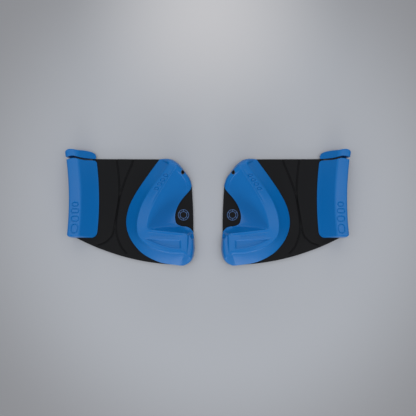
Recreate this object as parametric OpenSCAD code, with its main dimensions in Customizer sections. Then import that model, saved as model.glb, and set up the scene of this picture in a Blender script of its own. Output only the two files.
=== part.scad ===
// A handed pair of moulded leg pads, lying on their backs with the faces up.
// Each one has a black side panel, a V-shaped front pad that the shin and instep press
// against, and a bowed calf bar with a separate block above it.
// Everything is drawn once, for the right-hand pad, and mirrored for the left-hand one.
// In that drawing x runs outward from the inner edge, y up the leg and z out of the panel.

/* [Pair] */
// Gap between the inner edges of the two pads
pair_gap = 75; // [20:1:200]

/* [Side panel] */
// How far the panel's top edge stays below the tip of the front pad
panel_drop = 1; // [0.5:0.5:4]
// Thickness of the moulded panel
panel_t = 8; // [6:0.5:12]
// Radius of the arc along the lower edge
panel_arc_r = 650; // [560:10:800]
// How far the panel stays inside the edge of the pads on it
panel_inset = 0.5; // [0.5:0.5:4]
// Depth of the two crossing grooves
groove_d = 2.2; // [0.8:0.1:2.5]
// Width of the two crossing grooves
groove_w = 5.5; // [3:0.5:8]
// Depth of the hollow that the calf slides along
valley_d = 1.6; // [0.8:0.1:2.5]
// Radius of that hollow
valley_r = 200; // [150:10:400]

/* [Backing and hook-and-loop sheets] */
// Thickness of the backing sheet under the panel
backing_t = 1.5; // [1:0.1:3]
// Distance of the backing sheet from the panel's edge
backing_inset = 4; // [2:0.5:10]
// Thickness of the hook sheets and of the loop sheets
sheet_t = 1.5; // [1:0.1:2.5]
// Distance of the loop sheets from the edge of the pad above them
loop_inset = 8; // [6:0.5:12]
// Distance of the hook sheets from the edge of the pad above them
hook_inset = 11; // [10:0.5:14]
// Clearance of a sheet or plate in its pocket
pocket_clear = 0.4; // [0.2:0.1:0.8]

/* [Front pad] */
// Width of the front pad
front_w = 190; // [170:1:210]
// Height of the front pad, from its lowest point to the tip of its upper arm
front_l = 297.5; // [280:0.5:310]
// Height of its ridge above the panel
front_h = 48; // [36:1:60]
// Upright edge along the foot of each pad
foot_edge = 2.5; // [1.5:0.1:4]
// Depth of the wedge-shaped recess in the lower arm
recess_d = 3; // [1:0.1:5]
// How far the crest at the tip of the upper arm bows outward
tip_bow = 9; // [5:0.5:12]
// Bore of the lined hole in the end of the upper arm
eyelet_bore = 8; // [5:0.5:10]
// Wall of the black liner in that hole
eyelet_wall = 1.5; // [1:0.1:2.5]
// Depth of that hole
eyelet_depth = 22; // [12:1:30]
// Width of the notch in the end of the lower arm
notch_w = 11; // [6:0.5:16]
// Depth of that notch
notch_depth = 9; // [5:0.5:14]

/* [Rear pad] */
// Width of the calf bar
rear_w = 72; // [66:0.5:78]
// Width of its flat top band
rear_band_w = 33.5; // [28:0.5:38]
// Height of the band above the panel
rear_h = 48; // [36:1:60]
// Distance of the bar's inner foot from the pair's inner edges, at its waist
rear_x = 265; // [258:0.5:275]
// Height of the bar's lower end above the panel's lowest point
rear_y = 77.5; // [70:0.5:90]
// Distance of the bar's upper end below the panel's top edge
rear_top_inset = 5; // [3:0.5:8]
// Radius of the bar's bow
bow_r = 870; // [750:10:1400]
// How far the waist of the bow lies below the middle of bar and block
waist_drop = 15; // [0:1:30]
// How far the bar's lower end slopes back from its foot to the top
bar_slope = 9; // [4:0.5:14]
// Corner radius at the bar's lower end, on the side of the leg
bar_corner_r = 12; // [6:0.5:16]

/* [Top block] */
// Length of the block above the bar, along the leg
block_l = 20; // [16:0.5:28]
// Gap between the bar and the block
block_gap = 4; // [2:0.5:8]
// How far that gap bulges upward across the band
gap_wave = 4.5; // [0:0.5:6]
// How far the block's top end bulges upward across the band
head_wave = 3; // [0:0.5:5]
// How far the block's top end slopes back from its foot to the top
block_slope = 2; // [1:0.5:6]

/* [Base plates and their screws] */
// Thickness of the base plates inside the pads
plate_t = 3; // [2.5:0.1:4]
// Distance of the plates from the edge of the pads
plate_inset = 10; // [9:0.5:13]
// Shank diameter of the plate screws
screw_d = 5; // [4:0.5:6]
// Length of the plate screws
screw_l = 12; // [9:0.5:15]
// Head diameter of the plate screws
screw_head_d = 9.5; // [8.5:0.1:11]
// Outer diameter of the threaded inserts
insert_d = 8.5; // [8:0.1:11]
// Length of the threaded inserts
insert_l = 10; // [8:0.5:12]

/* [Position mark] */
// Outer radius of the ring on the panel
mark_r = 15.3; // [10:0.1:18]
// Width of each ring line
mark_line = 1.5; // [1:0.1:2.5]
// How far the mark stands out of the panel
mark_proud = 0.4; // [0.2:0.1:1]

/* [Hidden] */
$fn = 48;
cut = 1;                                     // how far a cutter runs past what it cuts

// levels, from the wall side outward
face_z = backing_t + panel_t;                // the panel's face, which the pads stand on
hook_z = face_z;
plate_z = hook_z + sheet_t;
insert_z = plate_z + plate_t;
foot_z = face_z + foot_edge;                 // top of the pads' upright edge

// the bar and the block above it
panel_l = front_l - panel_drop;              // height of the panel
rear_top = panel_l - rear_top_inset;
block_y = rear_top + block_gap;
total_l = block_y + block_l + head_wave;
bow_y = (rear_y + total_l) / 2 - waist_drop;     // waist of the bow

// ---- the front pad's four long edges, as shares of its width and length ----
// each runs from the tip of the upper arm, round the bend, to the end of the lower arm
outer_shares = [[.51, .988], [.61, .902], [.725, .80], [.84, .69], [.93, .585], [.98, .489],
              [.995, .398], [.97, .307], [.89, .206], [.74, .106], [.50, .031], [.22, .001]];
crease_shares = [[.365, .930], [.475, .827], [.57, .746], [.665, .66], [.74, .57], [.79, .474],
          [.81, .383], [.79, .292], [.70, .222], [.55, .166], [.36, .136], [.14, .131]];
ridge_shares = [[.252, .909], [.335, .827], [.41, .75], [.485, .67], [.555, .59], [.615, .50],
         [.65, .418], [.655, .353], [.55, .337], [.41, .327], [.27, .317], [.12, .309]];
inner_shares = [[.055, .711], [.11, .67], [.165, .63], [.215, .585], [.255, .534], [.28, .479],
              [.28, .428], [.255, .388], [.19, .368], [.12, .363], [.065, .348], [.02, .317]];
// heights of the crease and of the ridge along the same way, as shares of front_h
crease_rise_shares = [.84, .88, .90, .92, .93, .93, .93, .91, .89, .87, .85, .83];
ridge_rise_shares = [.88, .92, .96, 1, 1, 1, 1, .98, .96, .94, .92, .90];
// foot of the two ends, from the outer edge round to the inner edge
upper_foot_shares = [[.475, .997], [.44, 1], [.38, 1], [.30, .982], [.215, .938], [.15, .885],
              [.07, .815], [.038, .745]];
lower_foot_shares = [[.16, .001], [.085, .02], [.03, .065], [.001, .16], [.006, .255], [.009, .28],
              [.011, .293], [.014, .305]];

// a smooth curve through the points, t from 0 to 1 (Catmull-Rom)
function spline(points, t) =
  let (last = len(points) - 1, s = min(max(t, 0), 1) * last, i = min(floor(s), last - 1),
       f = s - i, b = points[i], c = points[i + 1],
       a = i > 0 ? points[i - 1] : 2 * b - c,
       d = i < last - 1 ? points[i + 2] : 2 * c - b)
  0.5 * (2 * b + (c - a) * f + (2 * a - 5 * b + 4 * c - d) * f * f
         + (3 * b - a - 3 * c + d) * f * f * f);
function mix(a, b, t) = a + (b - a) * t;
function unit(v) = v / norm(v);
function plan(p) = [p[0], p[1]];
function at_z(p, z) = [p[0], p[1], z];
function front_point(share) = [share[0] * front_w, share[1] * front_l];

// ---- front pad: one section across it, at station t ----
front_steps = 34;                            // sections between the two ends
// how an end falls from its rim to its foot: [share of the way out, share of the fall]
round_fall_shares = [[0.3, 0.02], [0.6, 0.13], [0.84, 0.4], [0.96, 0.75], [1, 1]];
ledge_fall_shares = [[0.14, 0.02], [0.3, 0.07], [0.4, 0.22], [0.72, 0.27], [1, 1]];
function outer_at(t) = at_z(front_point(spline(outer_shares, t)), foot_z);
function inner_at(t) = at_z(front_point(spline(inner_shares, t)), foot_z);
function crease_at(t) =
  at_z(front_point(spline(crease_shares, t)), face_z + front_h * spline(crease_rise_shares, t));
function ridge_at(t) =
  at_z(front_point(spline(ridge_shares, t)), face_z + front_h * spline(ridge_rise_shares, t));
// outer wall, a from the foot (0) to the crease (1): it leans in and rounds off
function wall_at(t, a) =
  let (o = outer_at(t), c = crease_at(t))
  at_z(mix(o, c, a), mix(o[2], c[2], 1 - pow(1 - a, 1.35)));
// inner scoop, a from the ridge (0) to the foot (1): a crest at the tip, hollow further down
function scoop_at(t, a) =
  let (r = ridge_at(t), i = inner_at(t), tip = pow(max(0, 1 - t / 0.16), 2),
       along = unit(plan(i - r)), bow = 4 * a * (1 - a) * tip_bow * tip,
       fall = mix(pow(1 - a, 1.5), 1 - pow(a, 2.4), tip))
  at_z(mix(r, i, a) + bow * [along[1], -along[0], 0], i[2] + (r[2] - i[2]) * fall);
// a rounded corner: three points between p and q, pulled towards the corner k
function corner(p, k, q) = [p, (p + 2 * k + q) / 4, q];
function section(t) =
  concat([for (a = [0, 0.3, 0.6]) wall_at(t, a)],
         corner(wall_at(t, 0.86), crease_at(t), mix(crease_at(t), ridge_at(t), 0.25)),
         [mix(crease_at(t), ridge_at(t), 0.6)],
         corner(mix(crease_at(t), ridge_at(t), 0.9), ridge_at(t), scoop_at(t, 0.06)),
         [for (a = [0.18, 0.36, 0.56, 0.78, 1]) scoop_at(t, a)]);
// row k of an end, from the rim outward; the upper end rolls over, and the lower one
// steps down to a ledge in the middle and rolls over towards its two corners
function end_row(rim, foot, k, ledge) =
  let (last = len(rim) - 1)
  [for (j = [0:last])
    let (f = at_z(front_point(spline(foot, j / last)), foot_z),
         middle = pow(sin(180 * pow(j / last, 1.3)), 4),
         step = mix(round_fall_shares[k], ledge_fall_shares[k], ledge * middle))
    at_z(mix(rim[j], f, step[0]), mix(rim[j][2], f[2], step[1]))];
end_rows = len(round_fall_shares);
front_rows =
  concat([for (k = [end_rows - 1:-1:0]) end_row(section(0), upper_foot_shares, k, 0)],
         [for (i = [0:front_steps]) section(i / front_steps)],
         [for (k = [0:end_rows - 1]) end_row(section(1), lower_foot_shares, k, 1)]);
// outline of the recess in the lower arm, from its point along the top to the blunt end
recess_shares = [[.685, .257], [.44, .2525], [.205, .2475], [.19, .2425], [.187, .185],
               [.195, .171], [.21, .167], [.32, .174], [.43, .19], [.54, .217], [.64, .245]];

// ---- a closed skin over rows of points ----
// The border of the rows lies at foot_z; the skin goes straight down from it to a little
// below face_z, where seat() cuts it off level.
module skin(rows) {
  n = len(rows);
  m = len(rows[0]);
  function top(i, j) = i * m + j;
  function foot(i, j) = n * m + (i == 0 ? j : j == m - 1 ? m - 1 + i
    : i == n - 1 ? 2 * (m - 1) + n - 1 - j : 2 * (m - 1) + 2 * (n - 1) - i);
  border = concat([for (j = [0:m - 1]) [0, j]], [for (i = [1:n - 1]) [i, m - 1]],
                  [for (j = [m - 2:-1:0]) [n - 1, j]], [for (i = [n - 2:-1:1]) [i, 0]]);
  sides = len(border);
  faces = concat(
    [for (i = [0:n - 2], j = [0:m - 2]) each [
      [top(i, j), top(i + 1, j), top(i + 1, j + 1)],
      [top(i, j), top(i + 1, j + 1), top(i, j + 1)]]],
    [for (k = [0:sides - 1])
      let (p = border[k], q = border[(k + 1) % sides]) each [
      [top(p[0], p[1]), top(q[0], q[1]), foot(q[0], q[1])],
      [top(p[0], p[1]), foot(q[0], q[1]), foot(p[0], p[1])]]],
    [[for (k = [sides - 1:-1:0]) foot(border[k][0], border[k][1])]]);
  points = concat([for (row = rows) each row],
                  [for (b = border) at_z(rows[b[0]][b[1]], face_z - cut)]);
  polyhedron(points, faces, convexity = 6);
}

// ---- outlines inside the front pad's foot ----
// the foot's outline, moved in from both long edges and kept clear of the two ends
outline_steps = 28;
front_reach = [0.035, 0.965];                // stations between which plate and sheets lie
function front_edge(i, inset) =
  let (t = mix(front_reach[0], front_reach[1], i / outline_steps),
       o = plan(outer_at(t)), n = plan(inner_at(t)))
  [o + inset * unit(n - o), n + inset * unit(o - n)];
function front_inside(inset) =
  concat([for (i = [0:outline_steps]) front_edge(i, inset)[0]],
         [for (i = [outline_steps:-1:0]) front_edge(i, inset)[1]]);
// stations of the plate screws, all midway between crease and ridge
front_screw_stations = [0.07, 0.26, 0.46, 0.66, 0.90];
front_screws_at = [for (t = front_screw_stations) plan(mix(crease_at(t), ridge_at(t), 0.5))];

// ---- the bar and the block ----
// bow: 0 at the waist, growing outward towards both ends
function bow(y) = bow_r - sqrt(bow_r * bow_r - (y - bow_y) * (y - bow_y));
function rear_point(across, y) = [rear_x + bow(y) + across, y];
rear_rise = rear_h - foot_edge;
rear_wall_w = rear_w - rear_band_w;
rear_lean = 1.5;                             // how far the outer side leans in
rear_round = 5;                              // rounding between the outer side and the band
rear_crown = 0.6;                            // rise of the band's middle
// the inner wall, a from its foot (0) to the crease (1): hollow, and steepest at the top
function rear_wall(a) = [rear_wall_w * a, rear_rise * pow(a, 1.45)];
// section of bar and block, [distance across, height], from the outer foot to the inner foot
rear_profile = concat(
  [[rear_w, 0]],
  [for (a = [0:30:90]) [rear_w - rear_lean - rear_round * (1 - cos(a)),
                        rear_rise - rear_round * (1 - sin(a))]],
  [[rear_wall_w + rear_band_w / 2, rear_rise + rear_crown],
   [rear_wall_w + rear_band_w * 0.12, rear_rise], [rear_wall_w + 0.3, rear_rise * 0.985]],
  [for (a = [0.93, 0.78, 0.6, 0.42, 0.27, 0.14, 0.05, 0]) rear_wall(a)]);
// how far a foot corner draws back at a distance d from the side; a corner is
// [how far it reaches along the end, how far it draws back at the side]
function drawn_back(d, corner) =
  corner[1] * (1 - sqrt(1 - pow(1 - min(1, d / corner[0]), 2)));
// the bulge of an end across the band; a bulge is [height, place as a share of the band]
function bulged(across, bulge) =
  let (away = abs(across - rear_wall_w - bulge[1] * rear_band_w) / (0.75 * rear_band_w))
  bulge[0] * (1 + cos(180 * min(1, away))) / 2;
// an end is [y, direction into the piece, slope, inner corner, outer corner, power, bulge];
// p is a point of the section, and a goes from the rim (0) to the foot (1)
function end_y(end, p, a) =
  let (rise = p[1] / rear_rise)
  end[0] + bulged(p[0], end[6]) * rise
  + end[1] * (end[2] * (1 - a) * mix(0.3, 1, rise) + drawn_back(p[0], end[3])
              + drawn_back(rear_w - p[0], end[4]));
function rear_end_row(end, a) =
  [for (p = rear_profile) at_z(rear_point(p[0], end_y(end, p, a)),
                               foot_z + p[1] * (1 - pow(a, end[5])))];
function rear_rows(upper, lower, steps) = concat(
  [for (a = [1, 0.85, 0.55, 0.25]) rear_end_row(upper, a)],
  [for (i = [0:steps])
    [for (p = rear_profile)
      at_z(rear_point(p[0], mix(end_y(upper, p, 0), end_y(lower, p, 0), i / steps)),
           foot_z + p[1])]],
  [for (a = [0.25, 0.55, 0.85, 1]) rear_end_row(lower, a)]);
gap_slope = 2;                               // of the two ends that face the gap
gap_corner = [3, 3];
gap_bulge = [gap_wave, 0.35];
flat_end = [0, 0.5];                         // an end with no bulge
bar_rows = rear_rows(
  [rear_top, -1, gap_slope, [0.6, 0.6] * bar_corner_r, gap_corner, 4, gap_bulge],
  [rear_y, 1, bar_slope, [1, 1] * bar_corner_r, [0.5, 0.5] * bar_corner_r, 2.4, flat_end], 9);
block_rows = rear_rows(
  [total_l - head_wave, -1, block_slope, [1.5, 0.7] * block_l, [0.4, 0.4] * block_l, 2.4,
   [head_wave, 0.5]],
  [block_y, 1, gap_slope, gap_corner, [0.34, 0.34] * block_l, 3, gap_bulge], 2);

// outline under the bar from y0 to y1, moved in from both sides by inset
function rear_inside(y0, y1, inset) =
  let (steps = 10, ys = [for (i = [0:steps]) mix(y0, y1, i / steps)])
  concat([for (y = ys) rear_point(inset, y)],
         [for (i = [steps:-1:0]) rear_point(rear_w - inset, ys[i])]);
// where the plate screws stand: three under the bar and two under the block
rear_bar_screws_at = [for (s = [0.12, 0.5, 0.88])
  rear_point(rear_wall_w + rear_band_w * 0.3, mix(rear_y, rear_top, s))];
rear_block_screws_at = [for (s = [0.2, 0.7])
  rear_point(rear_wall_w + rear_band_w * (s - 0.2), block_y + block_l * 0.42)];
rear_screws_at = concat(rear_bar_screws_at, rear_block_screws_at);

// ---- the panel ----
arc_x = front_w * 0.13;                      // where the lower edge is lowest
panel_low = panel_inset;
panel_side_x = rear_x + rear_w - panel_inset;
function panel_arc_y(x) =
  panel_low + panel_arc_r - sqrt(panel_arc_r * panel_arc_r - (x - arc_x) * (x - arc_x));
panel_corner_x = panel_side_x + bow(rear_y);
// the points of a path moved sideways by d, to the left of its direction
function moved_in(path, d) =
  let (n = len(path))
  [for (i = [0:n - 1])
    let (v = unit(path[(i + 1) % n] - path[(i + n - 1) % n])) path[i] + d * [-v[1], v[0]]];
panel_edge = concat(
  [for (i = [0:12]) let (x = mix(front_w * 0.26, panel_corner_x, i / 12)) [x, panel_arc_y(x)]],
  [for (i = [1:10])
    let (y = mix(panel_arc_y(panel_corner_x), panel_l, i / 10)) [panel_side_x + bow(y), y]],
  [for (i = [0:8]) let (p = front_point(spline(upper_foot_shares, i / 8)))
    [p[0] + panel_inset, min(p[1] - panel_inset, panel_l)]],
  [for (i = [8:-1:0]) let (p = front_point(spline(lower_foot_shares, i / 8)))
    [p[0] + panel_inset, max(p[1], panel_low)]]);
// the two crossing grooves, as shares of [distance across, height] of the panel
groove_shares = [
  [[.50, 1.01], [.52, .94], [.565, .82], [.615, .65], [.648, .46], [.675, .30], [.705, .25],
   [.745, .212], [.795, .193]],
  [[.645, 1.01], [.63, .88], [.621, .74], [.624, .61], [.646, .44], [.651, .35], [.636, .26],
   [.605, .175], [.565, .118]]];
function groove_point(share) = [share[0] * (rear_x + rear_w), share[1] * panel_l];
function groove_band(path) =
  let (steps = 20, line = [for (i = [0:steps]) groove_point(spline(path, i / steps))],
       half = [for (i = [0:steps])
         let (v = unit(line[min(i + 1, steps)] - line[max(i - 1, 0)]))
         groove_w / 2 * [-v[1], v[0]]])
  concat([for (i = [0:steps]) line[i] + half[i]],
         [for (i = [steps:-1:0]) line[i] - half[i]]);

// ---- sub-parts ----
module backing_sheet() color("dimgray")
  linear_extrude(backing_t) polygon(moved_in(panel_edge, backing_inset));

module side_panel() color([0.12, 0.12, 0.13]) difference() {
  translate([0, 0, backing_t]) linear_extrude(panel_t) polygon(panel_edge);
  translate([0, 0, face_z - sheet_t]) {
    linear_extrude(sheet_t + cut) polygon(front_inside(loop_inset - pocket_clear));
    linear_extrude(sheet_t + cut) polygon(rear_inside(rear_y + loop_inset - pocket_clear,
      rear_top - loop_inset + pocket_clear, loop_inset - pocket_clear));
  }
  translate([0, 0, face_z - groove_d]) for (path = groove_shares)
    linear_extrude(groove_d + cut) polygon(groove_band(path));
  valley_half = sqrt(2 * valley_r * valley_d);
  translate([rear_x - valley_half - 1, 0, face_z + valley_r - valley_d])
    rotate([-90, 0, 0]) cylinder(r = valley_r, h = 2 * total_l, center = true, $fn = 96);
}

module position_mark() color([0.2, 0.35, 0.6])
  translate(at_z(front_point([.161, .473]), face_z)) {
    linear_extrude(mark_proud) {
      difference() { circle(mark_r); circle(mark_r - mark_line); }
      difference() { circle(mark_r * 0.66); circle(mark_r * 0.66 - mark_line); }
      for (a = [0:60:300]) rotate(a + 30)
        translate([mark_r * 0.66 - mark_line / 2, -mark_line / 2])
          square([mark_r * 0.34, mark_line]);
    }
  }

module front_loop_sheet() color("gray") translate([0, 0, face_z - sheet_t])
  linear_extrude(sheet_t) polygon(front_inside(loop_inset));
module front_hook_sheet() color([0.2, 0.2, 0.2]) translate([0, 0, hook_z])
  linear_extrude(sheet_t) polygon(front_inside(hook_inset));
module rear_loop_sheet() color("gray") translate([0, 0, face_z - sheet_t])
  linear_extrude(sheet_t)
    polygon(rear_inside(rear_y + loop_inset, rear_top - loop_inset, loop_inset));
module rear_hook_sheet() color([0.2, 0.2, 0.2]) translate([0, 0, hook_z])
  linear_extrude(sheet_t)
    polygon(rear_inside(rear_y + hook_inset, rear_top - hook_inset, hook_inset));

head_h = (screw_head_d - screw_d) / 2;       // a 90-degree countersink
screw_clear = 0.3;                           // clearance of a screw in its plate
module countersunk(grow) {
  cylinder(d1 = screw_head_d + 2 * grow, d2 = screw_d + 2 * grow, h = head_h);
  cylinder(d = screw_d + 2 * grow, h = screw_l);
}
module plate(outline, screws_at) color([0.16, 0.16, 0.17])
  translate([0, 0, plate_z]) difference() {
    linear_extrude(plate_t) polygon(outline);
    for (p = screws_at) translate(at_z(p, 0)) countersunk(screw_clear);
  }
module screws(screws_at) color("silver")
  for (p = screws_at) translate(at_z(p, plate_z)) countersunk(0);
module inserts(screws_at) color("goldenrod")
  for (p = screws_at) translate(at_z(p, insert_z)) difference() {
    cylinder(d = insert_d, h = insert_l);
    translate([0, 0, -cut]) cylinder(d = screw_d + 0.2, h = insert_l + 2 * cut);
  }
// what a pad's underside is cut with: a level slab up to the panel's face, a pocket for the
// plate, and a bore for each insert
module seat(outline, screws_at) {
  translate([-cut, -cut, face_z - 2 * cut])
    cube([rear_x + rear_w + bow(total_l) + 2 * cut, total_l + 2 * cut, 2 * cut]);
  translate([0, 0, face_z - cut]) linear_extrude(cut + insert_z - face_z) polygon(outline);
  for (p = screws_at) translate(at_z(p, insert_z - cut))
    cylinder(d = insert_d, h = insert_l + cut);
}

module front_base_plate() plate(front_inside(plate_inset), front_screws_at);
module front_screws() screws(front_screws_at);
module front_inserts() inserts(front_screws_at);
eyelet_at = at_z(front_point([.155, .874]), face_z + front_h * 0.6);
module along_eyelet() translate(eyelet_at) rotate([0, 0, 145]) rotate([0, 50, 0]) children();
module front_pad() color("dodgerblue") difference() {
  skin(front_rows);
  difference() {
    translate([0, 0, foot_z]) linear_extrude(front_h)
      polygon([for (share = recess_shares) front_point(share)]);
    translate([0, 0, -recess_d]) skin(front_rows);
  }
  seat(front_inside(plate_inset - pocket_clear), front_screws_at);
  along_eyelet() translate([0, 0, -eyelet_depth])
    cylinder(d = eyelet_bore + 2 * eyelet_wall, h = 2 * eyelet_depth);
  translate([0, front_l * 0.272 - notch_w / 2, face_z + front_h * 0.3])
    translate([-notch_depth, 0, 0]) cube([2 * notch_depth, notch_w, front_h]);
}
module front_eyelet() color([0.08, 0.08, 0.08]) intersection() {
  skin(front_rows);
  along_eyelet() translate([0, 0, -eyelet_depth]) difference() {
    cylinder(d = eyelet_bore + 2 * eyelet_wall, h = 2 * eyelet_depth);
    translate([0, 0, eyelet_wall]) cylinder(d = eyelet_bore, h = 2 * eyelet_depth);
  }
}

rear_plate_y = [rear_y + plate_inset, block_y + block_l - plate_inset / 2];
module rear_base_plate() plate(rear_inside(rear_plate_y[0], rear_plate_y[1], plate_inset),
                               rear_screws_at);
module rear_screws() screws(rear_screws_at);
module rear_inserts() inserts(rear_screws_at);
module rear_seat() seat(rear_inside(rear_plate_y[0] - pocket_clear, rear_plate_y[1] + pocket_clear,
                                    plate_inset - pocket_clear), rear_screws_at);
module rear_pad() color("dodgerblue") difference() { skin(bar_rows); rear_seat(); }
module top_block() color("dodgerblue") difference() { skin(block_rows); rear_seat(); }

// ---- the two pads ----
module side(s) {
  mirror([s < 0 ? 1 : 0, 0, 0]) translate([pair_gap / 2, -total_l / 2, 0]) children();
}
module left() { side(-1) children(); }
module right() { side(1) children(); }

left() backing_sheet();  // left_backing_sheet
left() side_panel();  // left_side_panel
left() position_mark();  // left_position_mark
left() front_loop_sheet();  // left_front_loop_sheet
left() front_hook_sheet();  // left_front_hook_sheet
left() front_base_plate();  // left_front_base_plate
left() front_inserts();  // left_front_inserts
left() front_screws();  // left_front_screws
left() front_pad();  // left_front_pad
left() front_eyelet();  // left_front_eyelet
left() rear_loop_sheet();  // left_rear_loop_sheet
left() rear_hook_sheet();  // left_rear_hook_sheet
left() rear_base_plate();  // left_rear_base_plate
left() rear_inserts();  // left_rear_inserts
left() rear_screws();  // left_rear_screws
left() rear_pad();  // left_rear_pad
left() top_block();  // left_top_block
right() backing_sheet();  // right_backing_sheet
right() side_panel();  // right_side_panel
right() position_mark();  // right_position_mark
right() front_loop_sheet();  // right_front_loop_sheet
right() front_hook_sheet();  // right_front_hook_sheet
right() front_base_plate();  // right_front_base_plate
right() front_inserts();  // right_front_inserts
right() front_screws();  // right_front_screws
right() front_pad();  // right_front_pad
right() front_eyelet();  // right_front_eyelet
right() rear_loop_sheet();  // right_rear_loop_sheet
right() rear_hook_sheet();  // right_rear_hook_sheet
right() rear_base_plate();  // right_rear_base_plate
right() rear_inserts();  // right_rear_inserts
right() rear_screws();  // right_rear_screws
right() rear_pad();  // right_rear_pad
right() top_block();  // right_top_block
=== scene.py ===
import math

import bpy
import numpy as np
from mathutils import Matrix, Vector
from mathutils.bvhtree import BVHTree
from mathutils.geometry import delaunay_2d_cdt


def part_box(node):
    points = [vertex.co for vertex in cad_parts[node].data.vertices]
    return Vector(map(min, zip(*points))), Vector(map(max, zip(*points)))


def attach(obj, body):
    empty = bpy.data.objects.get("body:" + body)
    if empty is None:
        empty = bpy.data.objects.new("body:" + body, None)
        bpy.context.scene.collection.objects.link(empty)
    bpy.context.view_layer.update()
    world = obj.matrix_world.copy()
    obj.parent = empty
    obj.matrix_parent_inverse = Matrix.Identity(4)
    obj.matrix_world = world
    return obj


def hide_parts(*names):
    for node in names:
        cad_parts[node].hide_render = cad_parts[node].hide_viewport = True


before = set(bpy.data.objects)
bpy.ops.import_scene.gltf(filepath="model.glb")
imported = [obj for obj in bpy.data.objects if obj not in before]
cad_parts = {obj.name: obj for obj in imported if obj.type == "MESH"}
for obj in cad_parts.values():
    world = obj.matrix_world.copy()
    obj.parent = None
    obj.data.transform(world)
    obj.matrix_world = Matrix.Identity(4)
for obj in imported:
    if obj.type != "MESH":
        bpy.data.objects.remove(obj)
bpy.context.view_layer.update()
mm = 0.001
# every shape is worked out for the right-hand pad and mirrored for the left-hand one
sides = {"right": 1.0, "left": -1.0}


def nodeBox(name):
    low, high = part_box("right_" + name)
    return np.array(low), np.array(high)


panelLow, panelHigh = nodeBox("side_panel")
frontLow, frontHigh = nodeBox("front_pad")
barLow, barHigh = nodeBox("rear_pad")
blockLow, blockHigh = nodeBox("top_block")
faceZ = frontLow[2]  # the panel's face, which the pads stand on
print("frame loaded:", len(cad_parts), "nodes")


def curveThrough(points, t):
    # Catmull-Rom: a cubic between each pair of points, with the slope of their neighbours
    points = np.asarray(points, float).reshape(len(points), -1)
    last = len(points) - 1
    s = np.clip(np.asarray(t, float), 0, 1) * last
    i = np.minimum(np.floor(s).astype(int), last - 1)
    f = (s - i)[:, None]
    held = np.vstack([2 * points[0] - points[1], points, 2 * points[-1] - points[-2]])
    a, b, c, d = held[i], held[i + 1], held[i + 2], held[i + 3]
    return 0.5 * (2 * b + (c - a) * f + (2 * a - 5 * b + 4 * c - d) * f**2
                  + (3 * b - a - 3 * c + d) * f**3)


def mixed(a, b, share):
    # a where the share is 0, b where it is 1
    return a + (b - a) * share


def smoothStep(low, high, x):
    # 0 below low, 1 above high, and 3t^2 - 2t^3 between them
    t = np.clip((x - low) / (high - low), 0, 1)
    return t * t * (3 - 2 * t)


def bell(x, width):
    # e to the minus (x / width)^2
    return np.exp(-(x / width)**2)


def movingMean(grid, where, reach):
    # each point becomes the mean of its line from where-reach to where+reach, which rounds
    # the corners of the line; grid is lines x stations x 3, and where are even stations
    step = where[1] - where[0]
    total = np.zeros_like(grid)
    total[:, 1:] = np.cumsum((grid[:, 1:] + grid[:, :-1]) * 0.5 * step, axis=1)
    reach = np.minimum(np.minimum(reach, where - where[0]), where[-1] - where)
    reach = np.maximum(reach, 1e-6)

    def sumTo(at):
        k = np.clip((at - where[0]) / step, 0, len(where) - 1.000001)
        i = np.floor(k).astype(int)
        f = (k - i)[None, :, None]
        # inside a step the sum grows as the line between its two ends does
        inside = (grid[:, i] * f + (grid[:, i + 1] - grid[:, i]) * f * f / 2) * step
        return total[:, i] + inside

    rounded = (sumTo(where + reach) - sumTo(where - reach)) / (2 * reach)[None, :, None]
    rounded[:, 0], rounded[:, -1] = grid[:, 0], grid[:, -1]
    return rounded


def newObject(name, vertices, faces, side=1.0, sharpAngle=50):
    # mirrored pads get their faces turned round, so that they still point outwards
    vertices = np.array(vertices, float)
    if side < 0:
        vertices[:, 0] *= -1
        faces = [tuple(reversed(face)) for face in faces]
    mesh = bpy.data.meshes.new(name)
    mesh.from_pydata(vertices.tolist(), [], faces)
    mesh.polygons.foreach_set("use_smooth", [True] * len(mesh.polygons))
    mesh.update()
    mesh.set_sharp_from_angle(angle=math.radians(sharpAngle))
    piece = bpy.data.objects.new(name, mesh)
    bpy.context.scene.collection.objects.link(piece)
    return piece


def quadGrid(rows, columns):
    # a quad for each four neighbours of a grid of points
    index = np.arange(rows * columns).reshape(rows, columns)
    quads = np.stack([index[:-1, :-1], index[:-1, 1:], index[1:, 1:], index[1:, :-1]], -1)
    return quads.reshape(-1, 4)


def quadStrips(levels):
    # quads between each closed ring of point numbers and the next one below it
    levels = np.array(levels)
    ahead = np.roll(levels, -1, 1)
    quads = np.stack([ahead[:-1], levels[:-1], levels[1:], ahead[1:]], -1)
    return [tuple(quad) for quad in quads.reshape(-1, 4).tolist()]


def evenPicks(pace, count):
    # numbers of count stations, closer together where the pace is higher
    travelled = np.concatenate([[0], np.cumsum((pace[1:] + pace[:-1]) / 2)])
    even = np.linspace(0, travelled[-1], count)
    return np.round(np.interp(even, travelled, np.arange(len(pace)))).astype(int)


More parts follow.
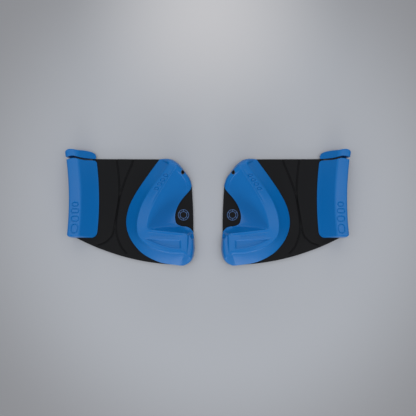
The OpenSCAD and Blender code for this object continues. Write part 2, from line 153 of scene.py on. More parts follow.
def closedSkin(name, grid, lowZ, side, footRound=0.6 * mm):
    # the grid's border lies level; from it the skin goes straight down to lowZ with a
    # rounded lower edge, and is closed by strips from one long side to the other
    rows, columns = grid.shape[:2]
    index = np.arange(rows * columns).reshape(rows, columns)
    border = np.concatenate([index[0], index[1:, -1], index[-1, -2::-1], index[-2:0:-1, 0]])
    rim = grid.reshape(-1, 3)[border]
    along = np.roll(rim, -1, 0) - np.roll(rim, 1, 0)
    inward = np.stack([-along[:, 1], along[:, 0]], -1)
    inward /= np.linalg.norm(inward, axis=1, keepdims=True) + 1e-12
    area = np.sum(rim[:, 0] * np.roll(rim[:, 1], -1) - rim[:, 1] * np.roll(rim[:, 0], -1))
    inward *= 1 if area > 0 else -1
    rings = []
    for turn in np.radians([0, 45, 90]):
        ring = rim.copy()
        ring[:, :2] += inward * footRound * (1 - math.cos(turn))
        ring[:, 2] = lowZ + footRound * (1 - math.sin(turn))
        rings.append(ring)
    vertices = np.vstack([grid.reshape(-1, 3), *rings])
    faces = [tuple(quad) for quad in quadGrid(rows, columns).tolist()]
    below = rows * columns + np.arange(3 * len(border)).reshape(3, -1)
    levels = np.vstack([border, below])
    faces += quadStrips(levels)
    ground = levels[-1].tolist()

    def foot(i, j):
        if i == 0:
            return ground[j]
        if j == columns - 1:
            return ground[columns - 1 + i]
        if i == rows - 1:
            return ground[2 * (columns - 1) + rows - 1 - j]
        return ground[2 * (columns - 1) + 2 * (rows - 1) - i]

    for i in range(rows - 1):
        faces.append((foot(i, 0), foot(i + 1, 0), foot(i + 1, columns - 1), foot(i, columns - 1)))
    faces.append(tuple(foot(0, j) for j in range(columns)))
    faces.append(tuple(foot(rows - 1, j) for j in range(columns - 1, -1, -1)))
    return newObject(name, vertices, faces, side)


def barDistance(x, y, start, end, radius):
    # distance from the nearest point of the line between two points, less a radius
    ax, ay = start
    dx, dy = end[0] - ax, end[1] - ay
    along = np.clip(((x - ax) * dx + (y - ay) * dy) / (dx * dx + dy * dy + 1e-12), 0, 1)
    return np.hypot(x - ax - along * dx, y - ay - along * dy) - radius


def polygonDistance(x, y, corners):
    # distance outside a closed outline, negative inside
    corners = np.asarray(corners, float)
    following = np.roll(corners, -1, 0)
    nearest = np.full(x.shape, 1e9)
    inside = np.zeros(x.shape, bool)
    for (ax, ay), (bx, by) in zip(corners, following):
        nearest = np.minimum(nearest, barDistance(x, y, (ax, ay), (bx, by), 0))
        crosses = (ay > y) != (by > y)
        inside ^= crosses & (x < (bx - ax) * (y - ay) / (by - ay + 1e-15) + ax)
    return np.where(inside, -nearest, nearest)


outlineReach = np.array([.995, 1.0])  # the farthest that the shares below reach
frontPad = {
    # the four long edges, as shares of the pad's width and length, from the tip of the
    # upper arm, round the bend, to the end of the lower arm
    "outer": [[.51, .988], [.61, .902], [.725, .80], [.84, .69], [.93, .585], [.98, .489],
              [.995, .398], [.97, .307], [.89, .206], [.74, .106], [.50, .031], [.22, .001]],
    "crease": [[.365, .930], [.475, .827], [.57, .746], [.665, .66], [.74, .57], [.79, .474],
               [.81, .383], [.79, .292], [.70, .222], [.55, .166], [.36, .136], [.14, .131]],
    "ridge": [[.252, .909], [.335, .827], [.41, .75], [.485, .67], [.555, .59], [.615, .50],
              [.65, .418], [.655, .353], [.55, .337], [.41, .327], [.27, .317], [.12, .309]],
    "inner": [[.055, .711], [.11, .67], [.165, .63], [.215, .585], [.255, .534], [.28, .479],
              [.28, .428], [.255, .388], [.19, .368], [.12, .363], [.065, .348], [.02, .317]],
    # heights along the crease and the ridge, as shares of the pad's height
    "creaseRise": [.77, .80, .83, .86, .88, .89, .89, .88, .87, .86, .85, .83],
    "ridgeRise": [.88, .92, .96, 1, 1, 1, 1, .98, .96, .94, .92, .90],
    "upperFoot": [[.475, .993], [.44, .995], [.38, .9945], [.30, .980], [.215, .938], [.15, .885],
                  [.07, .815], [.038, .745]],
    "lowerFoot": [[.16, .001], [.088, .021], [.025, .066], [-.003, .15], [.004, .25],
                  [.008, .28], [.011, .293], [.014, .305]],
    # how an end falls from its rim to its foot: share of the way out, share of the fall
    "tipFall": [[0, 0], [.10, .012], [.20, .004], [.34, .012], [.6, .12], [.84, .4],
                [.96, .75], [1, 1]],
    "cornerFall": [[0, 0], [.10, .008], [.20, .012], [.34, .02], [.60, .045], [.80, .12],
                   [.93, .36], [1, 1]],
    "ledgeFall": [[0, 0], [.10, .01], [.22, .03], [.29, .07], [.355, .215], [.47, .215],
                  [.62, .222], [.79, .255], [.92, .45], [1, 1]],
    "footEdge": 4 * mm,
    # the outer wall is hollow below 1; the scoop is hollow above 1, with one power at the
    # tip, one at the end, and the way over which it turns
    "wallPower": 0.84,
    "scoopPower": (1.06, 1.45),
    "scoopTurn": (0.25, 0.60),
    "tipBow": 9 * mm,
    "tipBowEnd": 0.16,
    "endShare": 0.10,
    # how far the corners are rounded, as shares of the way across or along; the crease has
    # one for the upper arm and one for the rest, each with the width that it fades over
    "creaseRound": ((0.15, 0.2), (0.06, 0.1)),
    "ridgeRound": 0.055,
    "valleyRound": 0.05,
    "valleyAt": 0.68,
    "rimRound": 0.010,
    "rows": 400,
    "columns": 210,
}


def frontSurface(p):
    # lines run across the pad: wall from foot to crease, band to the ridge, scoop to the
    # inner foot; each is laid out on stations 0 to 3, its corners rounded by a moving mean
    low, size = frontLow, frontHigh - frontLow
    span = size[:2] / outlineReach
    footZ = low[2] + p["footEdge"]
    rise = size[2] * 1.004  # the ridge loses a little height when it is rounded
    endShare = p["endShare"]
    across = np.linspace(0, 3, 901)
    along = np.linspace(-endShare, 1 + endShare, 1100)
    t = np.clip(along, 0, 1)

    def edge(name, z):
        plan = low[:2] + curveThrough(p[name], t) * span
        return np.column_stack([plan, z])

    level = np.full(len(t), footZ)
    outer = edge("outer", level)
    crease = edge("crease", low[2] + rise * curveThrough(p["creaseRise"], t)[:, 0])
    ridge = edge("ridge", low[2] + rise * curveThrough(p["ridgeRise"], t)[:, 0])
    inner = edge("inner", level)
    part = across - np.floor(across)  # the share of the way over the wall, band or scoop
    part[-1] = 1
    grid = np.zeros((len(along), len(across), 3))
    wall, band, scoop = across < 1, (across >= 1) & (across < 2), across >= 2
    share = part[wall][None, :, None]
    grid[:, wall] = mixed(outer[:, None], crease[:, None], share)
    grid[:, wall, 2] = mixed(outer[:, None, 2], crease[:, None, 2],
                             1 - (1 - share[..., 0])**p["wallPower"])
    share = part[band][None, :, None]
    grid[:, band] = mixed(crease[:, None], ridge[:, None], share)
    share = part[scoop][None, :, None]
    grid[:, scoop] = mixed(ridge[:, None], inner[:, None], share)
    # at the tip the scoop's line bows outward
    tip = (np.clip(1 - t / p["tipBowEnd"], 0, 1)**2)[:, None]
    s = share[..., 0]
    direction = inner[:, :2] - ridge[:, :2]
    direction /= np.linalg.norm(direction, axis=1, keepdims=True)
    bow = 4 * s * (1 - s) * p["tipBow"] * tip
    grid[:, scoop, 0] += bow * direction[:, None, 1]
    grid[:, scoop, 1] -= bow * direction[:, None, 0]
    power = mixed(*p["scoopPower"], smoothStep(*p["scoopTurn"], t))[:, None]
    fall = (1 - s)**power
    grid[:, scoop, 2] = footZ + (ridge[:, None, 2] - footZ) * fall
    # beyond the two rims the lines go out and down to the foot of the end; the lower end
    # steps down to a ledge in its middle and rolls over towards its two corners
    place = np.interp(across, [0, 1, 2, 3], [0, 2 / 7, 4 / 7, 1])
    middle = np.sin(math.pi * place**1.3)**4
    for foot, beyond, fallName, ledge in (("upperFoot", -along, "tipFall", 0),
                                          ("lowerFoot", along - 1, "cornerFall", 1)):
        at = low[:2] + curveThrough(p[foot], place) * span
        picked = beyond > 0
        out = np.clip(beyond[picked] / endShare, 0, 1)
        rolled, stepped = (curveThrough(p[k], out) for k in (fallName, "ledgeFall"))
        way = mixed(rolled[:, None], stepped[:, None], (ledge * middle)[None, :, None])
        way = np.clip(way, 0, 1)
        for k in range(2):
            grid[picked, :, k] = mixed(grid[picked, :, k], at[None, :, k], way[..., 0])
        grid[picked, :, 2] = mixed(grid[picked, :, 2], footZ, way[..., 1])
    # the crease is softer along the upper arm than round the bend and the lower arm
    ridgeReach = p["ridgeRound"] * bell(across - 2, 0.12) + 0.01
    soft, crisp = (movingMean(grid, across, reach * bell(across - 1, width) + ridgeReach)
                   for reach, width in p["creaseRound"])
    grid = mixed(soft, crisp, smoothStep(0.1, 0.35, t)[:, None, None])
    # the valley between the two arms is rounded along the pad, and so are the two rims
    turned = np.swapaxes(grid, 0, 1)
    reach = p["valleyRound"] * bell(along - p["valleyAt"], 0.12) + 0.001
    valley = movingMean(turned, along, reach)
    inScoop = smoothStep(2.05, 2.35, across) * (1 - smoothStep(2.75, 2.97, across))
    turned = mixed(turned, valley, inScoop[:, None, None])
    rims = p["rimRound"] * (bell(along, 0.02) + bell(along - 1, 0.02)) + 0.0025
    grid = np.swapaxes(movingMean(turned, along, rims), 0, 1)
    # rows lie closer together at the two ends and columns at the crease and the ridge,
    # where the surface turns fastest
    rowAt = evenPicks(1 + 1.2 * smoothStep(-0.04, -0.01, np.abs(along - 0.5) - 0.5), p["rows"])
    columnAt = evenPicks(1 + 1.2 * bell(across - 1, 0.2) + 3 * bell(across - 2, 0.08)
                         + 0.8 * ((across > 1) & (across < 2)), p["columns"])
    return grid[np.ix_(rowAt, columnAt)], along[rowAt], across[columnAt], low, span


frontMarks = {
    # the wedge-shaped recess in the lower arm, as shares of the pad's width and length
    "wedge": [[.685, .257], [.44, .2525], [.205, .2475], [.19, .2425], [.187, .185],
              [.195, .171], [.21, .167], [.32, .174], [.43, .19], [.54, .217], [.64, .245]],
    "wedgeDepth": 3 * mm,
    "wedgeWall": 3.6 * mm,
    "wedgeSwell": 0.5 * mm,
    # a shallow strip beyond the wedge, with a row of dashes in it
    "strip": [[.60, .290], [.26, .281]],
    "stripWidth": 11 * mm,
    "stripDepth": 0.5 * mm,
    "dashes": 7,
    "dashReach": 2 * mm,
    "dashRadius": 2.0 * mm,
    "dashDepth": 1.3 * mm,
    # plain ovals on the upper arm's band, between two shares of the pad's length
    "ovals": (.848, .690),
    "ovalCount": 4,
    "ovalRadius": 4.7 * mm,
    "ovalReach": 2.4 * mm,
    "ovalWall": 2.6 * mm,
    "ovalDepth": 1.9 * mm,
    # the bead on the ridge, and the lip of the crease at the lower arm's end
    "bead": 1.0 * mm,
    "beadWidth": 1.8 * mm,
    "lip": 0.7 * mm,
    # the rolled rim of the tip: how far inside its edge the crest and the step are
    "rimCrest": 5.6 * mm,
    "rimStep": (6.2 * mm, 8.4 * mm),
    "rimRise": 1.3 * mm,
    "rimFade": 30 * mm,
    # the notch in the lower arm's end; its place is a share of the pad's length
    "notchY": .279,
    "notchWidth": 17 * mm,
    "notchDepth": 10 * mm,
    "notchFloor": 14.4 * mm,
}


def sinkMarks(grid, along, across, low, span, p):
    # shallow recesses in the moulded face: a wedge on the lower arm, plain dashes above it
    # and a row of plain ovals along the upper arm's band
    px, py = grid[..., 0] - low[0], grid[..., 1] - low[1]
    onBand = smoothStep(0.9, 1.05, across) * (1 - smoothStep(1.97, 2.02, across))
    depth = np.zeros(px.shape)

    def sink(distance, deep, soft):
        # the deepest mark counts; a mark's wall is as wide as soft
        nonlocal depth
        depth = np.maximum(depth, deep * (1 - smoothStep(-soft, 0.3 * soft, distance)))

    wedge = polygonDistance(px, py, np.array(p["wedge"]) * span)
    sink(wedge, p["wedgeDepth"], p["wedgeWall"])
    start, end = np.array(p["strip"]) * span
    sink(barDistance(px, py, start, end, p["stripWidth"] / 2), p["stripDepth"], 2 * mm)
    dashWay = np.array([p["dashReach"], 0])
    for k in range(p["dashes"]):
        at = mixed(start, end, (k + 0.5) / p["dashes"])
        sink(barDistance(px, py, at + dashWay, at - dashWay, p["dashRadius"]),
             p["dashDepth"], 1.2 * mm)
    # the ovals lie across the band, on its middle line
    crease, middle, ridge = (np.argmin(np.abs(across - at)) for at in (1, 1.5, 2))
    half = p["ovalWall"] / 2
    for k in range(p["ovalCount"]):
        level = mixed(*p["ovals"], (k + 0.5) / p["ovalCount"]) * span[1]
        row = np.argmin(np.abs(py[:, middle] - level))
        way = grid[row, ridge, :2] - grid[row, crease, :2]
        way *= p["ovalReach"] / np.linalg.norm(way)
        at = np.array([px[row, middle], py[row, middle]])
        oval = barDistance(px, py, at - way, at + way, p["ovalRadius"] - half)
        sink(np.abs(oval) - half, p["ovalDepth"], 1.5 * mm)
    grid[..., 2] -= depth * onBand[None, :]
    # round the wedge the skin swells a little; the crease has a fine lip at the arm's end
    swell = bell(wedge - 1.6 * mm, 1.5 * mm) * onBand[None, :]
    lowerEnd = (smoothStep(0.84, 0.93, along) * (1 - smoothStep(1.0, 1.04, along)))[:, None]
    lip = bell(across - 0.90, 0.055) - 0.9 * bell(across - 1.02, 0.06)
    grid[..., 2] += p["wedgeSwell"] * swell + p["lip"] * lip[None, :] * lowerEnd

    def lineDistance(line):
        # distance in plan from the nearest piece of a line
        nearest = np.full(px.shape, 1e9)
        for a, b in zip(line, line[1:]):
            nearest = np.minimum(nearest, barDistance(grid[..., 0], grid[..., 1], a, b, 0))
        return nearest

    # the ridge carries a low bead, and the tip a rolled rim with a crest and a step inside
    inside = smoothStep(0.0, 0.05, along) * (1 - smoothStep(0.95, 1.0, along))
    fromRidge = lineDistance(grid[(along > 0.02) & (along < 0.98), ridge, :2][::4])
    arms = inside * np.maximum(1 - smoothStep(0.30, 0.42, along), smoothStep(0.64, 0.72, along))
    bead = bell(fromRidge, p["beadWidth"])
    dip = 0.6 * bell(fromRidge - 5.5 * mm, 2.6 * mm) * (across < 2)[None, :]
    fromRim = lineDistance(grid[np.argmin(np.abs(along)), across > 1.6][::3, :2])
    near = ((along > -0.02)[:, None] * smoothStep(1.9, 2.3, across)
            * (1 - smoothStep(2.8, 2.97, across))[None, :])
    crest = 0.35 * bell(fromRim - p["rimCrest"], 1.3 * mm)
    step = (smoothStep(*p["rimStep"], fromRim)
            * (1 - smoothStep(p["rimStep"][1], p["rimFade"], fromRim)))
    grid[..., 2] += p["bead"] * (bead - dip) * arms[:, None]
    grid[..., 2] += p["rimRise"] * (crest - step) * near
    return grid


def cutNotch(grid, low, span, p):
    # the lower arm's end wall is pushed in between the notch's two sides, above its floor
    fromMiddle = np.abs(grid[..., 1] - low[1] - p["notchY"] * span[1])
    between = 1 - smoothStep(-2.4 * mm, 1.0 * mm, fromMiddle - p["notchWidth"] / 2)
    above = smoothStep(-3.0 * mm, 4.4 * mm, grid[..., 2] - faceZ - p["notchFloor"])
    back = low[0] + p["notchDepth"] * (1 - 0.35 * (fromMiddle / p["notchWidth"] * 2)**2)
    push = np.maximum(back - grid[..., 0], 0)
    grid[..., 0] += push * between * above
    return grid


eyelet = {
    # its place as shares of the pad, its rise over the panel, and which way it leans
    "at": (.158, .866), "rise": 30 * mm, "turn": 147, "tilt": 42,
    "bore": 8 * mm, "wall": 1.5 * mm, "depth": 22 * mm, "lip": 0.5 * mm,
    "above": 40 * mm,  # where the search for the foam's surface starts
    "steps": 96,
}


def eyeletPlace(low, span):
    # the liner's mouth, its axis, and two directions square to the axis
    turn, tilt = math.radians(eyelet["turn"]), math.radians(eyelet["tilt"])
    axis = Vector((math.sin(tilt) * math.cos(turn), math.sin(tilt) * math.sin(turn),
                   math.cos(tilt)))
    at = Vector((low[0] + eyelet["at"][0] * span[0], low[1] + eyelet["at"][1] * span[1],
                 faceZ + eyelet["rise"]))
    across = axis.orthogonal().normalized()
    return at, axis, across, axis.cross(across)


def tubePoints(place, radius, height):
    # a ring of points round the eyelet's axis, at one height or at a list of heights
    at, axis, first, second = place
    angle = np.linspace(0, 2 * math.pi, eyelet["steps"], endpoint=False)
    ring = (np.array(at)[None] + radius * np.cos(angle)[:, None] * np.array(first)[None]
            + radius * np.sin(angle)[:, None] * np.array(second)[None])
    return ring + np.broadcast_to(np.asarray(height), angle.shape)[:, None] * np.array(axis)[None]


def tubeFaces(rings):
    # rings of points joined by quads that face outward, and a cap on the first and the last
    levels = np.arange(rings * eyelet["steps"]).reshape(rings, -1)
    faces = [(b, a, d, c) for a, b, c, d in quadStrips(levels)]
    return faces + [tuple(levels[0, ::-1].tolist()), tuple(levels[-1].tolist())]


def makeLiner(sideName, side, surface, place):
    # a bore with a bottom, a rounded lip that follows the foam's surface, and an outer wall
    axis = place[1]
    boreRadius = eyelet["bore"] / 2
    outerRadius = boreRadius + eyelet["wall"]

    def heights(radius):
        # the foam's height over the mouth, for each point of a ring
        found = []
        for point in tubePoints(place, radius, eyelet["above"]):
            hit = surface.ray_cast(Vector(point), -axis, 2 * eyelet["above"])
            found.append(eyelet["above"] - hit[3] if hit[0] is not None else 0.0)
        return np.array(found)

    inside, outside = heights(boreRadius), heights(outerRadius)
    bottom = -eyelet["depth"] + eyelet["wall"]
    lip = eyelet["lip"]
    rings = [(boreRadius - 0.8 * mm, bottom), (boreRadius, bottom + 0.8 * mm),
             (boreRadius, inside - 0.8 * mm), (boreRadius + 0.05 * mm, inside - 0.2 * mm),
             (boreRadius + 0.3 * mm, inside + 0.7 * lip),
             (boreRadius + 0.7 * mm, mixed(inside, outside, 0.45) + lip),
             (outerRadius - 0.3 * mm, outside + lip),
             (outerRadius + 0.1 * mm, outside + 0.6 * lip),
             (outerRadius + 0.3 * mm, outside), (outerRadius + 0.25 * mm, outside - 0.6 * mm),
             (outerRadius - 0.05 * mm, outside - 1.2 * mm),
             (outerRadius - 0.05 * mm, -eyelet["depth"])]
    points = np.vstack([tubePoints(place, radius, height) for radius, height in rings])
    return newObject(sideName + "_eyelet_liner", points, tubeFaces(len(rings)), side, 40)


def boreFoam(piece, place, side):
    # the liner's hole is cut from the skin
    outerRadius = eyelet["bore"] / 2 + eyelet["wall"]
    points = np.vstack([tubePoints(place, outerRadius, height)
                        for height in (-eyelet["depth"] - 0.1 * mm, eyelet["above"])])
    cutter = newObject("bore", points, tubeFaces(2), side)
    modifier = piece.modifiers.new("bore", "BOOLEAN")
    modifier.operation, modifier.object, modifier.solver = "DIFFERENCE", cutter, "EXACT"
    graph = bpy.context.evaluated_depsgraph_get()
    bored = bpy.data.meshes.new_from_object(piece.evaluated_get(graph))
    piece.modifiers.clear()
    piece.data = bored
    bpy.data.objects.remove(cutter)
    bored.set_sharp_from_angle(angle=math.radians(50))


frontGrid, frontAlong, frontAcross, frontOrigin, frontSpan = frontSurface(frontPad)
frontGrid = sinkMarks(frontGrid, frontAlong, frontAcross, frontOrigin, frontSpan, frontMarks)
frontGrid = cutNotch(frontGrid, frontOrigin, frontSpan, frontMarks)
eyeletAt = eyeletPlace(frontOrigin, frontSpan)
frontTree = BVHTree.FromPolygons(frontGrid.reshape(-1, 3).tolist(),
                                 quadGrid(*frontGrid.shape[:2]).tolist())
print("front pad's surface worked out")


def makeEyelet(sideName, side):
    return makeLiner(sideName, side, frontTree, eyeletAt)


def makeFront(sideName, side):
    piece = closedSkin(sideName + "_front_foam", frontGrid, frontOrigin[2], side)
    boreFoam(piece, eyeletAt, side)
    return piece


bar = {
    "bowRadius": 870 * mm,
    "waistDrop": 15 * mm,
    "width": 72 * mm,
    "bandWidth": 33.5 * mm,
    "footEdge": 2.5 * mm,
    "lean": 1.5 * mm,
    "round": 5 * mm,
    "crown": 0.6 * mm,
    "wallPower": 1.12,
    "creaseReach": 6 * mm,
    "topInset": 5 * mm,
    "gap": 4 * mm,
    "rows": 300,
    "columns": 150,
    # the two ends: a corner is how far it reaches along the end and how far it draws back,
    # and a bulge is its height and its place as a share of the band
    "upper": {"slope": 4 * mm, "inner": (7.2 * mm, 7.2 * mm), "outer": (4 * mm, 4 * mm),
              "power": 5, "bulge": (4.5 * mm, 0.35)},
    "lower": {"slope": 10 * mm, "inner": (14 * mm, 16 * mm), "outer": (10 * mm, 9 * mm),
              "power": 2.8, "bulge": (0, 0.5)},
}
# the block is the bar's form with rounder ends, and stands a little past its solid
block = dict(
    bar, rows=120, width=74 * mm, creaseReach=11 * mm, round=9 * mm, stand=2.9 * mm,
    upper={"slope": 5 * mm, "inner": (30 * mm, 13.5 * mm), "outer": (17 * mm, 12 * mm),
           "power": 3.2, "bulge": (3 * mm, 0.5)},
    lower={"slope": 0.5 * mm, "inner": (5 * mm, 4 * mm), "outer": (8 * mm, 3 * mm),
           "power": 3.2, "bulge": bar["upper"]["bulge"]})
blockTop = blockHigh[1] + block["stand"]
waistY = (barLow[1] + blockHigh[1]) / 2 - bar["waistDrop"]
barTop = panelHigh[1] - bar["topInset"]


def bowAt(y):
    # how far the circle of the bow has left its tangent at the waist
    return bar["bowRadius"] - np.sqrt(bar["bowRadius"]**2 - (y - waistY)**2)


def barSection(p, height):
    # from the outer foot up the side, round the corner, over the band, then down the
    # hollow inner wall, whose height is the power of its distance from the foot
    wallWidth = p["width"] - p["bandWidth"]
    turn = np.linspace(0, math.pi / 2, 60)
    side = np.column_stack([p["width"] - p["lean"] * np.linspace(0, 1, 60),
                            np.linspace(0, height - p["round"], 60)])
    curve = np.column_stack([p["width"] - p["lean"] - p["round"] * (1 - np.cos(turn)),
                             height - p["round"] * (1 - np.sin(turn))])
    s = np.linspace(0, 1, 120)
    bandStart = curve[-1, 0]
    band = np.column_stack([mixed(bandStart, wallWidth, s),
                            height + p["crown"] * 4 * s * (1 - s)])
    s = np.linspace(1, 0, 240)
    wall = np.column_stack([wallWidth * s, height * s**p["wallPower"]])
    line = np.vstack([side, curve[1:], band[1:], wall[1:]])
    length = np.concatenate([[0], np.cumsum(np.linalg.norm(np.diff(line, axis=0), axis=1))])
    corner = length[len(side) + len(curve) // 2]
    crease = length[len(side) + len(curve) + len(band) - 2]
    even = np.linspace(0, length[-1], 1201)
    flat = np.column_stack([np.interp(even, length, line[:, 0]),
                            np.interp(even, length, line[:, 1]), np.zeros(len(even))])
    reach = p["creaseReach"] * bell(even - crease, p["creaseReach"] * 1.5) + 0.3 * mm
    smooth = movingMean(flat[None], even, reach)[0, :, :2]
    # columns lie closer together at the crease and at the rounded outer corner
    pace = 1 + 2 * bell(even - crease, 6 * mm) + 2 * bell(even - corner, 6 * mm)
    return smooth[evenPicks(pace, p["columns"])]


def drawnBack(distance, corner):
    # a corner is a quarter of an ellipse
    reach, depth = corner
    return depth * (1 - np.sqrt(1 - (1 - np.clip(distance / reach, 0, 1))**2))


def barSurface(p, lowY, highY, box):
    # rows run from the upper end to the lower end; at an end they go out and down
    low, high = box
    footZ = low[2] + p["footEdge"]
    section = barSection(p, high[2] - footZ - p["crown"])
    acrossX, height = section[:, 0], section[:, 1]
    rise = height / height.max()

    def endY(at, inward, end, out):
        # the end's line: a bulge at the band, a slope that eases as it goes out, two corners
        bulgeHeight, bulgePlace = end["bulge"]
        away = np.abs(acrossX - p["width"] + p["bandWidth"] * (1 - bulgePlace))
        away = np.minimum(1, away / (0.75 * p["bandWidth"]))
        bulge = bulgeHeight * (1 + np.cos(math.pi * away)) / 2 * rise
        return (at + bulge
                + inward * (end["slope"] * (1 - out) * mixed(0.3, 1, rise)
                            + drawnBack(acrossX, end["inner"])
                            + drawnBack(p["width"] - acrossX, end["outer"])))

    rowsY, rowsZ = [], []
    endRows = max(14, p["rows"] // 12)
    bodyRows = p["rows"] - 2 * endRows
    outs = np.sin(np.linspace(1, 0, endRows, endpoint=False) * math.pi / 2)
    for out in outs:
        rowsY.append(endY(highY, -1, p["upper"], out))
        rowsZ.append(height * (1 - out**p["upper"]["power"]))
    upperRim = endY(highY, -1, p["upper"], 0)
    lowerRim = endY(lowY, 1, p["lower"], 0)
    for s in np.linspace(0, 1, bodyRows):
        rowsY.append(mixed(upperRim, lowerRim, s))
        rowsZ.append(height)
    for out in outs[::-1]:
        rowsY.append(endY(lowY, 1, p["lower"], out))
        rowsZ.append(height * (1 - out**p["lower"]["power"]))
    y, z = np.array(rowsY), np.array(rowsZ)
    x = barLow[0] + bowAt(y) + acrossX[None, :]
    return np.stack([x, y, footZ + z], -1)


barMarks = {
    # plain ovals in the band, in mm: distance from the bar's inner foot and from its lower
    # end, then half of the oval's width and of its height
    "ovals": [(52.4, 92.6, 9.2, 6.4), (52.5, 75.0, 11.5, 6.6), (51.5, 54.0, 11.5, 8.0),
              (51.2, 27.5, 10.0, 13.0)],
    "halfWall": 1.3 * mm,
    "depth": 1.6 * mm,
}


def sinkOvals(grid, p):
    # an oval's groove runs where the distance from its middle line is near its radius
    x = grid[..., 0] - barLow[0] - bowAt(grid[..., 1])
    y = grid[..., 1] - barLow[1]
    half = p["halfWall"]
    depth = np.zeros(x.shape)
    for oval in np.array(p["ovals"]) * mm:
        at, reach = oval[:2], oval[2:] - half
        radius = reach.min()
        groove = np.abs(barDistance(x, y, at - reach + radius, at + reach - radius, radius))
        depth = np.maximum(depth, p["depth"] * (1 - smoothStep(-half, 0.5 * mm, groove - half)))
    grid[..., 2] -= depth
    return grid


def makeBar(sideName, side):
    grid = sinkOvals(barSurface(bar, barLow[1], barTop, (barLow, barHigh)), barMarks)
    return closedSkin(sideName + "_calf_foam", grid, barLow[2], side)


def makeBlock(sideName, side):
    highY = blockTop - block["upper"]["bulge"][0]
    grid = barSurface(block, barTop + block["gap"], highY, (blockLow, blockHigh))
    return closedSkin(sideName + "_block_foam", grid, blockLow[2], side)


panel = {
    "inset": 0.5 * mm,
    # the lower edge is an arc; its lowest point and its start are shares of the front pad's
    # width
    "arcRadius": 650 * mm,
    "arcLift": 1.0 * mm,
    "arcMiddle": 0.13,
    "arcStart": 0.26,
    "innerBulge": 1.4 * mm,
    "edgeRound": 1.6 * mm,
    "valleyDepth": 1.6 * mm,
    "valleyRadius": 200 * mm,
    "grooveWidth": 6.0 * mm,
    "grooveDepth": 3.0 * mm,
    # the two crossing grooves, as shares of the panel's width and length
    "grooves": [
        [[.50, 1.01], [.52, .94], [.565, .82], [.615, .65], [.648, .46], [.675, .30],
         [.705, .25], [.745, .212], [.795, .193]],
        [[.645, 1.01], [.63, .88], [.621, .74], [.624, .61], [.646, .44], [.651, .35],
         [.636, .26], [.605, .175], [.565, .118]]],
    # the mesh: lines along a groove, as shares of half its width, and the grid elsewhere
    "grooveLines": (-1.3, -1, -0.66, -0.33, 0, 0.33, 0.66, 1, 1.3),
    "gridStep": 7 * mm,
}


def panelOutline(p):
    # lower arc, bowed outer side, straight top, then in under the front pad's two ends
    span, origin = frontSpan, frontLow[:2]
    sideX = barLow[0] + bar["width"] - p["inset"]
    cornerX = sideX + bowAt(barLow[1])
    arcX = origin[0] + span[0] * p["arcMiddle"]
    x = np.linspace(origin[0] + span[0] * p["arcStart"], cornerX, 70)
    arcY = panelLow[1] + p["arcLift"] + p["arcRadius"] - np.sqrt(p["arcRadius"]**2 - (x - arcX)**2)
    arc = np.column_stack([x, arcY])
    y = np.linspace(arcY[-1], panelHigh[1], 60)[1:]
    outerSide = np.column_stack([sideX + bowAt(y), y])
    upper = origin + curveThrough(frontPad["upperFoot"], np.linspace(0, 1, 40)) * span
    upper += np.array([p["inset"], -p["inset"]])
    upper[:, 1] = np.minimum(upper[:, 1], panelHigh[1])
    top = np.linspace(outerSide[-1], upper[0], 60)[1:-1]
    lower = origin + curveThrough(frontPad["lowerFoot"], np.linspace(1, 0, 40)) * span
    lower[:, 0] += p["inset"]
    lower[:, 1] = np.maximum(lower[:, 1], panelLow[1])
    share = np.linspace(0, 1, 24)[1:-1, None]
    inner = mixed(upper[-1], lower[0], share)
    inner[:, 0] -= p["innerBulge"] * np.sin(math.pi * share[:, 0])**0.7
    return np.vstack([arc, outerSide, top, upper, inner, lower])


def insetLoop(loop, distance):
    # each point of a closed loop moves inward, square to the line between its neighbours
    along = np.roll(loop, -1, 0) - np.roll(loop, 1, 0)
    along /= np.linalg.norm(along, axis=1, keepdims=True) + 1e-12
    return loop + distance * np.column_stack([-along[:, 1], along[:, 0]])


def groovePaths(p):
    # the grooves' middle lines in the part's frame
    span = np.array([barLow[0] + bar["width"] - frontLow[0], panelHigh[1] - panelLow[1]])
    origin = np.array([frontLow[0], panelLow[1]])
    return [origin + curveThrough(path, np.linspace(0, 1, 90)) * span for path in p["grooves"]]


def panelPlan(p, outline, paths):
    # the lines and points of the face's plan: the outline and its insets, lines beside each
    # groove, then a plain grid; they are joined into triangles
    insets = [insetLoop(outline, p["edgeRound"] * (1 - math.cos(turn)))
              for turn in np.radians([0, 30, 60, 90])]
    inner = insets[-1]
    points, edges = [], []

    def addLine(line, closed):
        start, count = len(points), len(line)
        points.extend(line.tolist())
        edges.extend((start + k, start + (k + 1) % count) for k in range(count - (not closed)))

    for loop in insets:
        addLine(loop, True)
    for path in paths:
        along = np.gradient(path, axis=0)
        along /= np.linalg.norm(along, axis=1, keepdims=True)
        normal = np.column_stack([-along[:, 1], along[:, 0]])
        for share in p["grooveLines"]:
            line = path + normal * share * p["grooveWidth"] / 2
            keep = polygonDistance(line[:, 0], line[:, 1], inner) < -1.2 * mm
            if keep.any():
                addLine(line[np.argmax(keep):len(keep) - np.argmax(keep[::-1])], False)
    low, high = inner.min(0), inner.max(0)
    x, y = (axis.ravel() for axis in np.meshgrid(np.arange(low[0], high[0], p["gridStep"]),
                                                 np.arange(low[1], high[1], p["gridStep"])))
    free = polygonDistance(x, y, inner) < -3 * mm
    for path in paths:
        far = np.min(np.hypot(x[:, None] - path[None, :, 0], y[:, None] - path[None, :, 1]), 1)
        free &= far > p["grooveWidth"] * 0.9
    points.extend(np.column_stack([x, y])[free].tolist())
    made = delaunay_2d_cdt([Vector(point) for point in points], edges, [], 1, 1e-7)
    # where each point of the outline went
    order = {source: k for k, sources in enumerate(made[3]) for source in sources}
    rim = [order[k] for k in range(len(outline))]
    return np.array([tuple(v) for v in made[0]]), [tuple(face) for face in made[2]], rim


